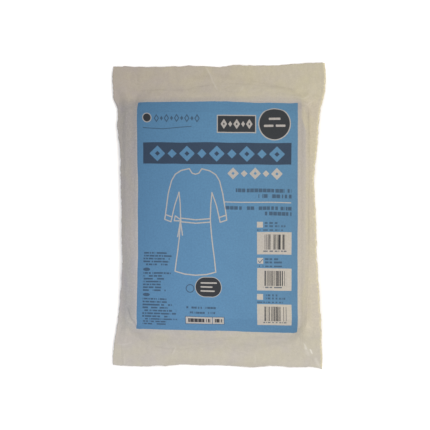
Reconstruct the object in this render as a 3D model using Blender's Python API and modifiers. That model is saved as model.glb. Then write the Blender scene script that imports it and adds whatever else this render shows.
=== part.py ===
"""A surgical gown folded into a flat block and sealed in a peel pouch that lies on its back.

The pouch is two webs of the same cut, medical paper in front and clear film behind, joined along all
four edges. The block lifts the paper into a low table with steep sides. At the head and the foot the
webs run out past the block as flaps that droop to the surface.

Metres. +X is the pack's right, +Y its head and +Z up, out of the paper. The origin lies on the
surface under the middle of the pack.
"""
import math
from collections import namedtuple

import bmesh
import bpy
from mathutils import Vector

MM = 0.001

# Pouch, as it lies
HALF_LENGTH = 204.0 * MM
SEAL_WIDTH = 9.0 * MM       # the webs are joined for this far in from the ends
WALL = 1.0 * MM             # paper and film, each drawn thicker than the real web
SEAM_GAP = 0.3 * MM         # between the webs, and between each web and the gown

# Folded gown
GOWN_HALF_WIDTH = 116.5 * MM
GOWN_HALF_LENGTH = 147.0 * MM
GOWN_TOP = 32.0 * MM
GOWN_CORNER = 20.0 * MM
GOWN_LAYERS = 5
LAYER_NOTCH = 1.3 * MM      # how far the gown steps in between two layers
EDGE_ROUNDING = 8.0 * MM    # how far the lowest and highest layers draw in
EDGE_DROP = 3.5 * MM        # how far the top sinks at its edge
DROP_REACH = 32.0 * MM      # how far in from the edge it starts to sink
ROUNDING_POWER = 5          # how late, from mid height, the layers start to draw in
CORNER_STEPS = 6
STEPS_PER_LAYER = 4
TOP_RINGS = 4

# Where each web leaves the gown and where it reaches the seam, from the middle of the pack
PAPER_LEAVES_X = 111.5 * MM
PAPER_LEAVES_Y = 142.0 * MM
FILM_LEAVES_X = 111.0 * MM
FILM_LEAVES_Y = 146.0 * MM
WEBS_MEET_X = 124.5 * MM
WEBS_MEET_Y = 177.0 * MM
PAPER_CROWN = 1.6 * MM      # how far the paper stands off the gown in the middle
PAPER_SLACK = 0.2 * MM      # and everywhere else on its top

# Columns and rows of the webs: even steps of the grid are laid at these distances from the middle,
# closer together where the webs turn down. Past COLUMN_PIN the columns spread out to the seam.
COLUMN_STOPS = [stop * MM for stop in
                (0, 24, 48, 70, 88, 101, 108, 112, 115, 118, 121, 125, 128, 131)]
ROW_STOPS = [stop * MM for stop in
             (0, 20, 40, 60, 79, 97, 113, 126, 136, 143, 149, 155, 161, 168, 177, 187, 196, 204)]
COLUMN_PIN = 108.0 * MM
SIDE_REACH = 10.0 * MM      # how far past the webs' meeting line the seam height is all the side's

# Side seams, from the foot to the head: their distance from the middle line and their height
Side = namedtuple("Side", "along left right left_height right_height")
SIDES = [
    Side(-204, 144.3, 139.6, 5.0, 4.0),
    Side(-170, 141.8, 139.4, 7.0, 6.0),
    Side(-147, 137.6, 137.8, 10.0, 9.5),
    Side(-122, 134.2, 136.2, 13.0, 13.0),
    Side(-92, 130.6, 134.8, 14.0, 14.5),
    Side(-60, 129.2, 132.2, 14.0, 14.0),
    Side(-20, 130.2, 132.2, 14.5, 13.5),
    Side(16, 130.4, 131.0, 14.0, 14.0),
    Side(48, 131.5, 128.6, 13.5, 15.0),
    Side(91, 133.2, 133.4, 14.0, 14.0),
    Side(121, 136.6, 135.2, 13.0, 13.0),
    Side(146, 138.6, 138.0, 10.5, 10.0),
    Side(170, 144.1, 142.0, 7.0, 7.5),
    Side(188, 144.3, 144.3, 5.0, 6.0),
    Side(204, 144.3, 143.2, 4.5, 5.0),
]

# End seams, from left to right: their distance from the middle of the pack and their height
End = namedtuple("End", "across head foot head_height foot_height")
ENDS = [
    End(-144.3, 201.0, 202.0, 4.5, 5.0),
    End(-118, 201.4, 204.0, 3.2, 3.4),
    End(-78, 201.6, 203.6, 4.8, 4.6),
    End(-40, 202.4, 201.8, 3.4, 3.0),
    End(0, 202.0, 201.0, 3.0, 4.2),
    End(36, 202.2, 202.0, 4.4, 3.2),
    End(78, 201.4, 201.8, 3.2, 4.6),
    End(112, 203.2, 202.8, 4.6, 3.4),
    End(144.3, 204.0, 203.8, 5.0, 4.0),
]

# Largest folds of the paper: a ridge (+) or trough (-) along a line, dying out at its ends
Fold = namedtuple("Fold", "x1 y1 x2 y2 rise width")
FOLD_END = 0.35             # share of a fold's height that is left at its ends
PAPER_FOLDS = [
    Fold(113, 141, 138, 196, 3.0, 9),       # ridges from the block's corners to the pouch's corners
    Fold(-113, 141, -139, 194, 2.6, 9),
    Fold(-113, -141, -138, -192, 2.8, 9),
    Fold(113, -141, 134, -195, 2.6, 9),
    Fold(-34, 170, -2, 176, 2.0, 10),       # soft cross folds in the flaps
    Fold(12, 172, 40, 188, -1.4, 10),
    Fold(-70, -180, -24, -174, 1.8, 11),
    Fold(24, -178, 82, -172, 1.8, 11),
    Fold(-6, -186, 8, -160, -1.2, 10),
]

PACK_NAME = "surgical_gown_pack"
PAPER_COLOUR = (0.50, 0.46, 0.38)
FILM_COLOUR = (0.78, 0.80, 0.80)
GOWN_COLOUR = (0.16, 0.30, 0.44)


def along_table(rows, key, value, at):
    """Read a column of a table at any place with a smooth curve through its rows."""
    keys = [getattr(row, key) * MM for row in rows]
    values = [getattr(row, value) * MM for row in rows]
    at = min(max(at, keys[0]), keys[-1])
    last = len(rows) - 1
    i = max(k for k in range(last) if keys[k] <= at)

    def slope(k):
        low, high = max(k - 1, 0), min(k + 1, last)
        return (values[high] - values[low]) / (keys[high] - keys[low])

    span = keys[i + 1] - keys[i]
    t = (at - keys[i]) / span
    return ((2 * t**3 - 3 * t**2 + 1) * values[i] + (t**3 - 2 * t**2 + t) * span * slope(i)
            + (3 * t**2 - 2 * t**3) * values[i + 1] + (t**3 - t**2) * span * slope(i + 1))


def at_stop(stops, fraction):
    """Distance from the middle for a signed fraction of the way to the edge."""
    steps = abs(fraction) * (len(stops) - 1)
    i = min(int(steps + 1e-6), len(stops) - 2)
    distance = stops[i] + (stops[i + 1] - stops[i]) * (steps - i)
    return math.copysign(distance, fraction)


def fall(distance, start, end):
    """1 up to start, 0 from end on, with a soft turn at both."""
    t = min(max((distance - start) / (end - start), 0.0), 1.0)
    return 1.0 - t * t * (3.0 - 2.0 * t)


def plan_point(u, v):
    """Place of a grid point seen from above, u and v running from -1 to 1."""
    y = at_stop(ROW_STOPS, v)
    x = at_stop(COLUMN_STOPS, u)
    edge = along_table(SIDES, "along", "left" if x < 0 else "right", y)
    if abs(x) > COLUMN_PIN:
        spread = (abs(x) - COLUMN_PIN) / (COLUMN_STOPS[-1] - COLUMN_PIN)
        x = math.copysign(COLUMN_PIN + spread * (edge - COLUMN_PIN), x)
    end = along_table(ENDS, "across", "head" if y > 0 else "foot", x)
    if abs(y) > PAPER_LEAVES_Y:
        spread = (abs(y) - PAPER_LEAVES_Y) / (HALF_LENGTH - PAPER_LEAVES_Y)
        y = math.copysign(PAPER_LEAVES_Y + spread * (end - PAPER_LEAVES_Y), y)
    return x, y


def seam_height(x, y):
    """Height at which the webs meet, or would meet if no gown held them apart."""
    side = along_table(SIDES, "along", "left_height" if x < 0 else "right_height", y)
    end = along_table(ENDS, "across", "head_height" if y > 0 else "foot_height", x)
    toward_end = 1.0 - fall(abs(y), GOWN_HALF_LENGTH, HALF_LENGTH)
    toward_side = 1.0 - fall(abs(x), GOWN_HALF_WIDTH, WEBS_MEET_X + SIDE_REACH)
    in_flap = end + (side - end) / 2 * toward_side
    return side + (in_flap - side) * toward_end


def fold_height(x, y):
    """Sum of the paper's folds at a point."""
    total = 0.0
    for fold in PAPER_FOLDS:
        start = Vector((fold.x1, fold.y1)) * MM
        run = Vector((fold.x2, fold.y2)) * MM - start
        t = min(max((Vector((x, y)) - start).dot(run) / run.length_squared, 0.0), 1.0)
        away = (Vector((x, y)) - start - run * t).length / (fold.width * MM)
        fade = FOLD_END + (1.0 - FOLD_END) * math.sin(math.pi * t)
        total += fold.rise * MM * fade * math.exp(-away * away)
    return total


def gown_edge_drop(x, y):
    """How far the top of the gown has sunk at a point, soft toward its edges."""
    level = 1.0
    for inside in (GOWN_HALF_WIDTH - abs(x), GOWN_HALF_LENGTH - abs(y)):
        level *= 1.0 - max(1.0 - max(inside, 0.0) / DROP_REACH, 0.0) ** 2
    return EDGE_DROP * (1.0 - level)


def paper_underside(x, y):
    over_gown = fall(abs(x), PAPER_LEAVES_X, WEBS_MEET_X) * fall(abs(y), PAPER_LEAVES_Y, WEBS_MEET_Y)
    crown = PAPER_CROWN * fall(abs(x), 0.0, PAPER_LEAVES_X) * fall(abs(y), 0.0, PAPER_LEAVES_Y)
    top = GOWN_TOP + PAPER_SLACK + crown - gown_edge_drop(x, y)
    inside_seams = fall(abs(y), HALF_LENGTH - 2 * SEAL_WIDTH, HALF_LENGTH - SEAL_WIDTH)
    folds = fold_height(x, y) * inside_seams * (1.0 - over_gown)
    seam = seam_height(x, y)
    return SEAM_GAP + seam + (top - seam) * over_gown + max(folds, 0.0)


def film_upper_side(x, y):
    under_gown = fall(abs(x), FILM_LEAVES_X, WEBS_MEET_X) * fall(abs(y), FILM_LEAVES_Y, WEBS_MEET_Y)
    return seam_height(x, y) * (1.0 - under_gown) + WALL * under_gown


def finish(obj, colour, roughness, alpha=1.0):
    """Give a piece its own material."""
    material = bpy.data.materials.new(obj.name)
    material.use_nodes = True
    shader = material.node_tree.nodes["Principled BSDF"]
    shader.inputs["Base Color"].default_value = (*colour, 1.0)
    shader.inputs["Roughness"].default_value = roughness
    shader.inputs["Metallic"].default_value = 0.0
    shader.inputs["Alpha"].default_value = alpha
    obj.data.materials.append(material)


def web(name, height_at, side):
    """One web of the pouch: a grid laid over the gown, with its wall above (1) or below (-1) it."""
    bpy.ops.mesh.primitive_grid_add(
        x_subdivisions=2 * (len(COLUMN_STOPS) - 1), y_subdivisions=2 * (len(ROW_STOPS) - 1), size=2.0)
    obj = bpy.context.object
    obj.name = obj.data.name = name
    for vertex in obj.data.vertices:
        x, y = plan_point(vertex.co.x, vertex.co.y)
        vertex.co = (x, y, height_at(x, y))
    thicken = obj.modifiers.new("wall", 'SOLIDIFY')
    thicken.thickness = WALL
    thicken.offset = side
    obj.data.shade_smooth()
    return obj


def bisect(mesh, faces, point, normal):
    """Cut faces by a plane and keep both sides."""
    geom = list({part for face in faces for part in (face, *face.edges, *face.verts)})
    bmesh.ops.bisect_plane(mesh, geom=geom, plane_co=point, plane_no=normal)


def folded_gown(name):
    """Block of folded layers with round corners, notched all round between one layer and the next."""
    bottom = WALL + SEAM_GAP
    thickness = GOWN_TOP - bottom
    core_width = GOWN_HALF_WIDTH - GOWN_CORNER
    core_length = GOWN_HALF_LENGTH - GOWN_CORNER
    mesh = bmesh.new()
    bmesh.ops.create_cube(mesh, size=1.0)
    bmesh.ops.scale(mesh, vec=(2 * GOWN_HALF_WIDTH, 2 * GOWN_HALF_LENGTH, thickness), verts=mesh.verts)
    bmesh.ops.translate(mesh, vec=(0.0, 0.0, bottom + thickness / 2), verts=mesh.verts)
    upright = [e for e in mesh.edges if abs(e.verts[0].co.z - e.verts[1].co.z) > thickness / 2]
    bmesh.ops.bevel(mesh, geom=upright, offset=GOWN_CORNER, segments=CORNER_STEPS, profile=0.5,
                    affect='EDGES')
    steps = STEPS_PER_LAYER * GOWN_LAYERS
    for step in range(1, steps):
        bisect(mesh, mesh.faces, Vector((0, 0, bottom + thickness * step / steps)), Vector((0, 0, 1)))
    for ring in range(1, TOP_RINGS + 1):
        inside = DROP_REACH * ring / TOP_RINGS
        for normal in (Vector((1, 0, 0)), Vector((-1, 0, 0)), Vector((0, 1, 0)), Vector((0, -1, 0))):
            reach = (GOWN_HALF_WIDTH if normal.x else GOWN_HALF_LENGTH) - inside
            top = [face for face in mesh.faces if face.calc_center_median().z > GOWN_TOP - SEAM_GAP]
            bisect(mesh, top, normal * reach, normal)
    for vertex in mesh.verts:
        level = (vertex.co.z - bottom) / thickness
        notch = LAYER_NOTCH * math.cos(math.pi * GOWN_LAYERS * level) ** 2
        draw_in = notch + EDGE_ROUNDING * abs(2.0 * level - 1.0) ** ROUNDING_POWER
        core = Vector((min(max(vertex.co.x, -core_width), core_width),
                       min(max(vertex.co.y, -core_length), core_length), vertex.co.z))
        vertex.co -= (vertex.co - core) * draw_in / GOWN_CORNER
        vertex.co.z -= level * gown_edge_drop(vertex.co.x, vertex.co.y)
    data = bpy.data.meshes.new(name)
    mesh.to_mesh(data)
    mesh.free()
    obj = bpy.data.objects.new(name, data)
    bpy.context.collection.objects.link(obj)
    return obj


def build():
    for obj in list(bpy.data.objects):
        bpy.data.objects.remove(obj, do_unlink=True)
    film = web("film_back", film_upper_side, -1.0)
    gown = folded_gown("gown_folded")
    paper = web("paper_front", paper_underside, 1.0)
    finish(film, FILM_COLOUR, 0.15, alpha=0.4)
    finish(gown, GOWN_COLOUR, 0.85)
    finish(paper, PAPER_COLOUR, 0.80)

    pack = bpy.data.collections.new(PACK_NAME)
    bpy.context.scene.collection.children.link(pack)
    for obj in (film, gown, paper):
        for owner in list(obj.users_collection):
            owner.objects.unlink(obj)
        pack.objects.link(obj)


build()
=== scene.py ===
import math
import random
from functools import partialmethod, reduce

import bmesh
import bpy
import numpy as np
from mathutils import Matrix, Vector, noise


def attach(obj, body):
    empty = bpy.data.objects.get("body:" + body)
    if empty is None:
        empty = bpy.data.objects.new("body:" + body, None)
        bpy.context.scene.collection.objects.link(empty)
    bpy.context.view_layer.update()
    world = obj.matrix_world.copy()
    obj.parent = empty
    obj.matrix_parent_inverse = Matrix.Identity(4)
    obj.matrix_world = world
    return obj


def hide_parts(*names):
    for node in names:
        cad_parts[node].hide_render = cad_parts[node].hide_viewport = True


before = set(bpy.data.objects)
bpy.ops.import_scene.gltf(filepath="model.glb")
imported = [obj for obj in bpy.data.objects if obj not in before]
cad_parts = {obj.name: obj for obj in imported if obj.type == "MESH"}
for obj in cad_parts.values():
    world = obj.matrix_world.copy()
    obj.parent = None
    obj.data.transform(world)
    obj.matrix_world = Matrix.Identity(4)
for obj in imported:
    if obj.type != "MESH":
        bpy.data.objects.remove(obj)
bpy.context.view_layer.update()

mm = 0.001

print("pack: shared form of the two webs")

# The pouch as it lies, in mm. Both webs are read from these numbers, +X to the right, +Y to the head.
pouch = {
    "sealWidth": 9,
    "webGap": 0.22,  # air between the webs where they are sealed
    "gownHalfWidth": 116.5,
    "gownHalfLength": 147,
    "gownTop": 32,
    "gownReach": 115.6,  # outermost points of the folded gown, at mid height
    "gownEnd": 146.2,
    "gownCorner": 20,
    "gownBottom": 1.35,
    "shoulder": 10,  # how far in from there its highest run stops
    "shoulderFrom": 0.55,  # and the share of the height from where it starts to
    "shoulderPower": 1.6,
    "edgeDrop": 2.6,  # how far the top of the gown sinks at its edge
    "dropReach": 36,
    "sideReach": 134.5,  # past this the seam height is all the side's
    "columnPin": 108,  # past these two the grid spreads out to the seams
    "rowPin": 142,
    "halfLength": 204,
    "halfWidth": 131,
    "edgeWave": 0.8,  # small unevenness of the cut edges
    "edgeWaveLength": 11,
    "edgeDroop": (8.5, 2.4),  # how far the left and right flanges hang below the seam height
    "edgeLift": 1.1,  # slow rise and fall of the free edges
    "edgeLiftLength": 46,
    "freeAcross": (122, 136),  # the edges rise and fall more and more between these distances
    "freeAlong": (172, 202),
    "droopAcross": (121, 135),  # and the flanges come to hang down between these
    "droopAlong": (130, 185),
    "crumple": 0.8,
    "crumpleLength": 17,
    "crumpleMean": 0.35,
    "lowest": 0.5,
    "gownRim": 0.5,  # the paper is still held clear of the gown this far past it
    "sideTeeth": 0.6,  # how ragged the cuts are
    "endTeeth": 0.15,
}

# Side seams: along, left, right, height at the left, height at the right
sideRows = [
    (-207, 143.2, 139.6, 4.6, 3.2),
    (-200, 143.3, 139.6, 5, 3.8),
    (-188, 142.3, 139.4, 5.6, 4.8),
    (-170, 140.3, 138.9, 7.5, 6),
    (-147, 136.9, 138, 12, 9.5),
    (-122, 133.5, 136.2, 15, 13),
    (-92, 130.2, 134.6, 16.5, 14.5),
    (-60, 128.8, 132.2, 16.5, 14),
    (-20, 129.8, 131.4, 17, 13.5),
    (16, 130.1, 130, 16.5, 14),
    (48, 131.4, 128.4, 16.5, 15),
    (75, 131.7, 130.8, 16.5, 14.5),
    (91, 132.5, 132.6, 16.5, 14),
    (121, 136.2, 134.6, 15, 13),
    (138, 136.4, 136.6, 13, 11),
    (148, 136.8, 138.4, 11, 9.8),
    (158, 141.7, 141, 9, 8.6),
    (172, 142.7, 143.4, 7, 7.5),
    (188, 142.9, 144.5, 5, 6),
    (207, 142.9, 142.4, 4.5, 5),
]

# End seams: across, head, foot, height at the head, height at the foot
endRows = [
    (-146, 201.6, 203.6, 4.5, 5),
    (-130, 202.9, 203.6, 3.6, 4),
    (-112, 201.9, 204.6, 3.2, 3.4),
    (-90, 200.9, 203.7, 4.4, 4.4),
    (-72, 201, 203.2, 4.8, 4.6),
    (-50, 201.9, 200.9, 3.6, 3.4),
    (-25, 201.5, 201.5, 3.2, 3.2),
    (0, 200.2, 201.2, 3, 4.2),
    (22, 202.2, 202, 3.8, 3.8),
    (45, 200.9, 203.4, 4.4, 3.2),
    (78, 200.8, 200.9, 3.2, 4.6),
    (106, 202.3, 202.6, 4.4, 3.6),
    (128, 203, 201.6, 4.8, 3.6),
    (138, 203.2, 204.6, 5, 3),
    (146, 201.4, 212.4, 5, 2),
]

# Creases that both webs share past the gown: from, to, rise, width, lean.
# A lean of 0 is an even ridge or trough, and 1 a step with one steep side.
sealCreases = [
    (113, 141, 139, 197, 2.4, 9, 0),  # corner ridges, from the gown's corner to the pouch's
    (-113, 141, -140, 194, 2, 9, 0),
    (-113, -141, -139, -193, 2.2, 9, 0),
    (113, -141, 136, -196, 2, 9, 0),
    (-130.5, -172, -130.5, -204, -0.9, 1.6, 0.6),
    (113.4, -156, 113.4, -187, 0.9, 1.8, 0.7),
    (-16, 206, -4, 178, 1.2, 5, 0.4),
    (-62, 205, -54, 188, -0.9, 6, 0),
    (44, 207, 38, 190, 0.8, 5, 0),
    (88, 206, 92, 184, -0.9, 6.5, 0.2),
    (-108, 206, -102, 187, 0.8, 6, 0),
    (-92, -206, -98, -188, 0.9, 6, 0),
    (-36, -206, -30, -191, -0.8, 5, 0),
    (22, -206, 26, -190, 0.9, 6, 0),
    (74, -206, 66, -188, -0.9, 6, 0),
    (124, -206, 119, -190, 0.7, 4, 0),
    (139, 118, 126, 108, 0.7, 3, 0.3),  # short pulls in the side flanges
    (138, 62, 125, 55, -0.6, 3, 0.3),
    (137, -8, 125, 2, 0.6, 3, 0.3),
    (139, -66, 126, -58, -0.7, 3.5, 0.3),
    (-139, 92, -125, 84, 0.7, 3, 0.3),
    (-137, 38, -125, 46, -0.6, 3.5, 0.3),
    (-136, -34, -125, -27, 0.6, 3, 0.3),
    (-138, -96, -126, -104, -0.7, 3, 0.3),
]


def readTable(rows, column, at):  # smooth curve through one column of a table
    keys = np.array([row[0] for row in rows], float)
    values = np.array([row[column] for row in rows], float)
    slopes = np.gradient(values, keys)
    at = np.clip(at, keys[0], keys[-1])
    i = np.clip(np.searchsorted(keys, at, side="right") - 1, 0, len(keys) - 2)
    gap = keys[i + 1] - keys[i]
    t = (at - keys[i]) / gap
    start = (2 * t**3 - 3 * t**2 + 1) * values[i] + (t**3 - 2 * t**2 + t) * gap * slopes[i]
    return start + (3 * t**2 - 2 * t**3) * values[i + 1] + (t**3 - t**2) * gap * slopes[i + 1]


def readPair(rows, column, first, at):  # one column where first holds, and the next one elsewhere
    return np.where(first, readTable(rows, column, at), readTable(rows, column + 1, at))


def fall(distance, start, end):  # 1 up to start, 0 from end on, soft at both
    t = np.clip((distance - start) / (end - start), 0, 1)
    return 1 - t * t * (3 - 2 * t)


def plateau(x, y, across, along):  # 1 over the middle, and down to 0 between these distances from it
    return fall(np.abs(x), *across) * fall(np.abs(y), *along)


def grain(x, y, length, seed=0):  # smooth noise, about -1 to 1, one bump per length
    places = zip(np.ravel(x) / length, np.ravel(y) / length)
    values = [noise.noise(Vector((a, b, seed))) for a, b in places]
    return np.array(values).reshape(np.shape(x))


def crumple(x, y, length, seed):  # sharp little valleys between soft mounds, 0 to about 1
    bent = 0.35 * length * grain(x, y, 2.3 * length, seed + 5)
    coarse = np.abs(grain(x + bent, y - bent, length, seed))
    middle = np.abs(grain(x - bent, y + bent, 0.53 * length, seed + 9))
    fine = np.abs(grain(x, y, 0.27 * length, seed + 17))
    return coarse + 0.5 * middle + 0.25 * fine


def creased(rows, x, y):  # height of a table of creases at each point
    total = np.zeros(np.shape(x))
    for x1, y1, x2, y2, rise, width, lean in rows:
        runX, runY = x2 - x1, y2 - y1
        reach = math.hypot(runX, runY)
        t = np.clip(((x - x1) * runX + (y - y1) * runY) / reach**2, 0, 1)
        side = ((x - x1) * runY - (y - y1) * runX) / reach
        away = np.hypot(x - x1 - t * runX, y - y1 - t * runY) / width
        fade = 0.25 + 0.75 * np.sin(math.pi * t) ** 0.7
        total += rise * fade * np.exp(-away * away) * (1 - lean + lean * 1.6 * np.tanh(side / width))
    return total


def seamHeight(x, y):  # where the webs meet, or would meet with no gown between
    side = readPair(sideRows, 3, x < 0, y)
    end = readPair(endRows, 3, y > 0, x)
    towardEnd = 1 - fall(np.abs(y), pouch["gownHalfLength"], pouch["halfLength"])
    towardSide = 1 - fall(np.abs(x), pouch["gownHalfWidth"], pouch["sideReach"])
    inFlap = end + (side - end) / 2 * towardSide
    return side + (inFlap - side) * towardEnd


def gownDrop(x, y):  # how far the top of the gown has sunk, toward its edges
    level = np.ones(np.shape(x))
    for inside in (pouch["gownHalfWidth"] - np.abs(x), pouch["gownHalfLength"] - np.abs(y)):
        level = level * (1 - np.clip(1 - np.clip(inside, 0, None) / pouch["dropReach"], 0, None) ** 2)
    return pouch["edgeDrop"] * (1 - level)


def gownTopAt(x, y):  # highest the folded gown reaches at each point, 0 past it
    corner = pouch["gownCorner"]
    outX = np.abs(x) - (pouch["gownReach"] - corner)
    outY = np.abs(y) - (pouch["gownEnd"] - corner)
    inside = corner - np.where((outX > 0) & (outY > 0), np.hypot(outX, outY), np.maximum(outX, outY))
    share = np.clip(inside / pouch["shoulder"], 0, 1) ** (1 / pouch["shoulderPower"])
    level = pouch["shoulderFrom"] + (1 - pouch["shoulderFrom"]) * share
    top = pouch["gownBottom"] + level * (pouch["gownTop"] - pouch["gownBottom"] - gownDrop(x, y))
    return np.where(inside > -pouch["gownRim"], top, 0)


def raggedEdge(along, seed, teeth):  # small waves and nicks of a cut edge
    waves = grain(along, seed, pouch["edgeWaveLength"])
    nicks = grain(along, seed + 9, 0.42 * pouch["edgeWaveLength"])
    fine = grain(along, seed + 19, 0.26 * pouch["edgeWaveLength"])
    return pouch["edgeWave"] * (waves + 0.7 * nicks + teeth * fine)


def drawnOut(value, pin, half, edge):  # what lies past the pin is spread so that half lands on the edge
    outside = np.clip((np.abs(value) - pin) / (half - pin), 0, None)
    return np.where(outside > 0, np.sign(value) * (pin + outside * (edge - pin)), value)


def planOf(u, v, columns, rows):  # place of grid points seen from above, u and v from -1 to 1
    y = np.sign(v) * np.interp(np.abs(v), *zip(*rows))
    x = np.sign(u) * np.interp(np.abs(u), *zip(*columns))
    edge = readPair(sideRows, 1, x < 0, y)
    edge = edge + raggedEdge(y, np.sign(x) * 40, pouch["sideTeeth"])
    x = drawnOut(x, pouch["columnPin"], pouch["halfWidth"], edge)
    end = readPair(endRows, 1, y > 0, x)
    end = end + raggedEdge(x, np.sign(y) * 70, pouch["endTeeth"])
    return x, drawnOut(y, pouch["rowPin"], pouch["halfLength"], end)


def sealedHeight(x, y):  # the film's upper side and the paper's lower side past the gown
    free = 1 - plateau(x, y, pouch["freeAcross"], pouch["freeAlong"])
    wave = pouch["edgeLift"] * free * grain(x, y, pouch["edgeLiftLength"], seed=3)
    small = pouch["crumple"] * (crumple(x, y, pouch["crumpleLength"], seed=2) - pouch["crumpleMean"])
    droop = np.where(x < 0, *pouch["edgeDroop"])
    droop = droop * (1 - fall(np.abs(x), *pouch["droopAcross"])) * fall(np.abs(y), *pouch["droopAlong"])
    height = seamHeight(x, y) + creased(sealCreases, x, y) + wave + small - droop
    return np.clip(height, pouch["lowest"], None)


# Where the sides of a sheet lie across its bake map, as left bound and width
bakeBands = {"front": (0, 0.72), "back": (0.72, 0.23), "rim": (0.96, 0.03)}


def foldedSheet(name, columns, rows, place, thickness, mapMargin=0.012):
    # A grid is moved onto its form, then gets a back and a rim. The map "flat" holds the sheet as it
    # was cut, in metres, "shares" runs from -1 to 1 between the edges, and OFBake has the front, the
    # back and the rim apart.
    mesh = bmesh.new()
    bmesh.ops.create_grid(mesh, x_segments=columns, y_segments=rows, size=1)
    start = np.array([vertex.co for vertex in mesh.verts])
    order = np.lexsort((start[:, 0].round(5), start[:, 1].round(5)))
    count = (len(set(start[:, 1].round(5))), len(set(start[:, 0].round(5))))
    u = start[order, 0].reshape(count)
    v = start[order, 1].reshape(count)
    placed = np.stack(place(u, v), -1) * mm
    across = np.linalg.norm(np.diff(placed, axis=1), axis=2)
    along = np.linalg.norm(np.diff(placed, axis=0), axis=2)
    flatX = np.pad(np.cumsum(across, 1), ((0, 0), (1, 0)))
    flatY = np.pad(np.cumsum(along, 0), ((1, 0), (0, 0)))
    flatX = flatX - flatX[:, [count[1] // 2]]
    flatY = flatY - flatY[[count[0] // 2], :]
    shareX = flatX / np.where(flatX < 0, -flatX[:, :1], flatX[:, -1:])
    shareY = flatY / np.where(flatY < 0, -flatY[:1, :], flatY[-1:, :])
    mesh.verts.ensure_lookup_table()
    where = {}
    shares = {}
    places = zip(order, placed.reshape(-1, 3), flatX.ravel(), flatY.ravel(), shareX.ravel(), shareY.ravel())
    for k, point, cutX, cutY, acrossShare, alongShare in places:
        mesh.verts[k].co = point
        where[mesh.verts[k]] = (cutX, cutY)
        shares[mesh.verts[k]] = (acrossShare, alongShare)
    low = np.array([flatX.min(), flatY.min()])
    size = np.array([np.ptp(flatX), np.ptp(flatY)])
    front = list(mesh.faces)
    mesh.normal_update()
    flatMap = mesh.loops.layers.uv.new("flat")
    bakeMap = mesh.loops.layers.uv.new("OFBake")
    shareMap = mesh.loops.layers.uv.new("shares")
    edge = [e for e in mesh.edges if e.is_boundary]
    copied = bmesh.ops.duplicate(mesh, geom=list(mesh.verts) + list(mesh.edges) + front)
    back = [part for part in copied["geom"] if isinstance(part, bmesh.types.BMFace)]
    twin = copied["vert_map"]
    for vertex in list(where):
        other = twin[vertex]
        other.co = vertex.co - vertex.normal * thickness * mm
        where[other] = where[vertex]
        shares[other] = shares[vertex]
    bmesh.ops.reverse_faces(mesh, faces=back)
    backEdge = [e for e in mesh.edges if e.is_boundary and e not in set(edge)]
    rim = bmesh.ops.bridge_loops(mesh, edges=edge + backEdge)["faces"]
    for faces, (left, width) in ((front, bakeBands["front"]), (back, bakeBands["back"])):
        for face in faces:
            for loop in face.loops:
                cut = np.array(where[loop.vert])
                share = (cut - low) / size
                loop[flatMap].uv = cut
                loop[bakeMap].uv = (left + (share[0] * (1 - mapMargin) + mapMargin / 2) * width, share[1])
    left, width = bakeBands["rim"]
    for k, face in enumerate(rim):
        for corner, loop in enumerate(face.loops):
            loop[flatMap].uv = where[loop.vert]
            loop[bakeMap].uv = (left + width * (corner in (1, 2)), (k + 0.1 + 0.8 * (corner > 1)) / len(rim))
    for face in mesh.faces:
        face.smooth = True
        for loop in face.loops:
            loop[shareMap].uv = shares[loop.vert]
    data = bpy.data.meshes.new(name)
    mesh.to_mesh(data)
    mesh.free()
    piece = bpy.data.objects.new(name, data)
    bpy.context.collection.objects.link(piece)
    print(f"  {name}: {len(data.polygons)} faces, cut about {size[0]:.3f} x {size[1]:.3f} m")
    return piece


print("paper: materials kit")


class Wire:  # a socket's value, so that sums on it add Math nodes
    def __init__(self, paint, socket):
        self.paint = paint
        self.socket = socket

    def maths(self, operation, *others):
        values = dict(enumerate((self, *others)))
        return self.paint.node("ShaderNodeMath", {"operation": operation}, values)

    def scaled(self, factor, offset):  # factor * value + offset, kept between 0 and 1
        moved = self.maths("MULTIPLY_ADD", factor, offset)
        return self.paint.node("ShaderNodeClamp", None, {0: moved})

    def within(self, soft):  # 1 where a distance is below 0 and 0 past it, over this width
        return self.scaled(-1 / soft, 0.5)

    def near(self, reach):  # 1 at a distance of 0, and 0 from this reach on
        return self.scaled(-1 / reach, 1)

    def ramp(self, start, end):  # 0 up to start and 1 from end on, straight between
        return self.scaled(1 / (end - start), start / (start - end))

    def span(self, low, high):  # distance to what lies between two bounds, below 0 inside
        return (self - (low + high) / 2).size() - (high - low) / 2

    def band(self, low, high, soft):  # 1 between two bounds, soft over this width
        return self.span(low, high).within(soft)

    def __rsub__(self, other):
        return self.paint.node("ShaderNodeMath", {"operation": "SUBTRACT"}, {0: other, 1: self})

    __add__ = __radd__ = partialmethod(maths, "ADD")
    __sub__ = partialmethod(maths, "SUBTRACT")
    __mul__ = __rmul__ = partialmethod(maths, "MULTIPLY")
    __gt__ = partialmethod(maths, "GREATER_THAN")
    __lt__ = partialmethod(maths, "LESS_THAN")
    size = partialmethod(maths, "ABSOLUTE")
    floor = partialmethod(maths, "FLOOR")
    fraction = partialmethod(maths, "FRACT")
    either = partialmethod(maths, "MAXIMUM")
    both = partialmethod(maths, "MINIMUM")


def nearest(distances):  # to whichever shape is closest
    return reduce(Wire.both, distances)


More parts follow.
